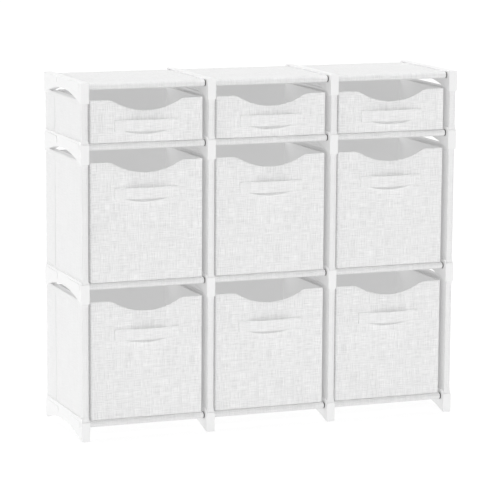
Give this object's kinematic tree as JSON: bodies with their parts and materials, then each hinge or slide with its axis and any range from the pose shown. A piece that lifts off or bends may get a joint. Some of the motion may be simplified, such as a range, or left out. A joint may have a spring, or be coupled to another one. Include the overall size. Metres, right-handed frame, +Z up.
{
  "type": "cube storage unit",
  "caption": "Open-backed cube storage unit: moulded side brackets on sleeved posts carry covered shelves, with pull-out fabric bins, scoop fronts and strap handles.",
  "frame": {"origin": "middle of the footprint on the floor", "axes": "+X to the right along the width, +Y to the open back, +Z up; the bin fronts face -Y"},
  "size_m": [1.0076, 0.305, 0.8895],
  "materials": {
    "moulded_plastic": "satin moulded white",
    "post_steel": "powder-coated light grey",
    "frame_fabric": "white slub-woven cover",
    "bin_fabric": "white slub-woven linen look"
  },
  "bodies": {
    "frame": {"foot_bracket_left": "moulded_plastic", "foot_bracket_inner_left": "moulded_plastic", "foot_bracket_inner_right": "moulded_plastic", "foot_bracket_right": "moulded_plastic", "lower_bracket_left": "moulded_plastic", "lower_bracket_inner_left": "moulded_plastic", "lower_bracket_inner_right": "moulded_plastic", "lower_bracket_right": "moulded_plastic", "upper_bracket_left": "moulded_plastic", "upper_bracket_inner_left": "moulded_plastic", "upper_bracket_inner_right": "moulded_plastic", "upper_bracket_right": "moulded_plastic", "top_bracket_left": "moulded_plastic", "top_bracket_inner_left": "moulded_plastic", "top_bracket_inner_right": "moulded_plastic", "top_bracket_right": "moulded_plastic", "socket_covers": "moulded_plastic", "posts": "post_steel", "lower_side_sleeves": "frame_fabric", "middle_side_sleeves": "frame_fabric", "upper_side_sleeves": "frame_fabric", "foot_shelf_left": "frame_fabric", "foot_shelf_centre": "frame_fabric", "foot_shelf_right": "frame_fabric", "lower_shelf_left": "frame_fabric", "lower_shelf_centre": "frame_fabric", "lower_shelf_right": "frame_fabric", "upper_shelf_left": "frame_fabric", "upper_shelf_centre": "frame_fabric", "upper_shelf_right": "frame_fabric", "top_shelf_left": "frame_fabric", "top_shelf_centre": "frame_fabric", "top_shelf_right": "frame_fabric"},
    "lower_bin_left": {"lower_bin_left_shell": "bin_fabric", "lower_bin_left_board": "bin_fabric", "lower_bin_left_handle": "bin_fabric"},
    "lower_bin_centre": {"lower_bin_centre_shell": "bin_fabric", "lower_bin_centre_board": "bin_fabric", "lower_bin_centre_handle": "bin_fabric"},
    "lower_bin_right": {"lower_bin_right_shell": "bin_fabric", "lower_bin_right_board": "bin_fabric", "lower_bin_right_handle": "bin_fabric"},
    "middle_bin_left": {"middle_bin_left_shell": "bin_fabric", "middle_bin_left_board": "bin_fabric", "middle_bin_left_handle": "bin_fabric"},
    "middle_bin_centre": {"middle_bin_centre_shell": "bin_fabric", "middle_bin_centre_board": "bin_fabric", "middle_bin_centre_handle": "bin_fabric"},
    "middle_bin_right": {"middle_bin_right_shell": "bin_fabric", "middle_bin_right_board": "bin_fabric", "middle_bin_right_handle": "bin_fabric"},
    "upper_bin_left": {"upper_bin_left_shell": "bin_fabric", "upper_bin_left_board": "bin_fabric", "upper_bin_left_handle": "bin_fabric"},
    "upper_bin_centre": {"upper_bin_centre_shell": "bin_fabric", "upper_bin_centre_board": "bin_fabric", "upper_bin_centre_handle": "bin_fabric"},
    "upper_bin_right": {"upper_bin_right_shell": "bin_fabric", "upper_bin_right_board": "bin_fabric", "upper_bin_right_handle": "bin_fabric"}
  },
  "joints": [
    {"name": "lower_bin_left_slide", "type": "slide", "parent": "frame", "child": "lower_bin_left", "axis": [0, -1, 0], "range_m": [0, 0.3]},
    {"name": "lower_bin_centre_slide", "type": "slide", "parent": "frame", "child": "lower_bin_centre", "axis": [0, -1, 0], "range_m": [0, 0.3]},
    {"name": "lower_bin_right_slide", "type": "slide", "parent": "frame", "child": "lower_bin_right", "axis": [0, -1, 0], "range_m": [0, 0.3]},
    {"name": "middle_bin_left_slide", "type": "slide", "parent": "frame", "child": "middle_bin_left", "axis": [0, -1, 0], "range_m": [0, 0.3]},
    {"name": "middle_bin_centre_slide", "type": "slide", "parent": "frame", "child": "middle_bin_centre", "axis": [0, -1, 0], "range_m": [0, 0.3]},
    {"name": "middle_bin_right_slide", "type": "slide", "parent": "frame", "child": "middle_bin_right", "axis": [0, -1, 0], "range_m": [0, 0.3]},
    {"name": "upper_bin_left_slide", "type": "slide", "parent": "frame", "child": "upper_bin_left", "axis": [0, -1, 0], "range_m": [0, 0.3]},
    {"name": "upper_bin_centre_slide", "type": "slide", "parent": "frame", "child": "upper_bin_centre", "axis": [0, -1, 0], "range_m": [0, 0.3]},
    {"name": "upper_bin_right_slide", "type": "slide", "parent": "frame", "child": "upper_bin_right", "axis": [0, -1, 0], "range_m": [0, 0.3]}
  ]
}
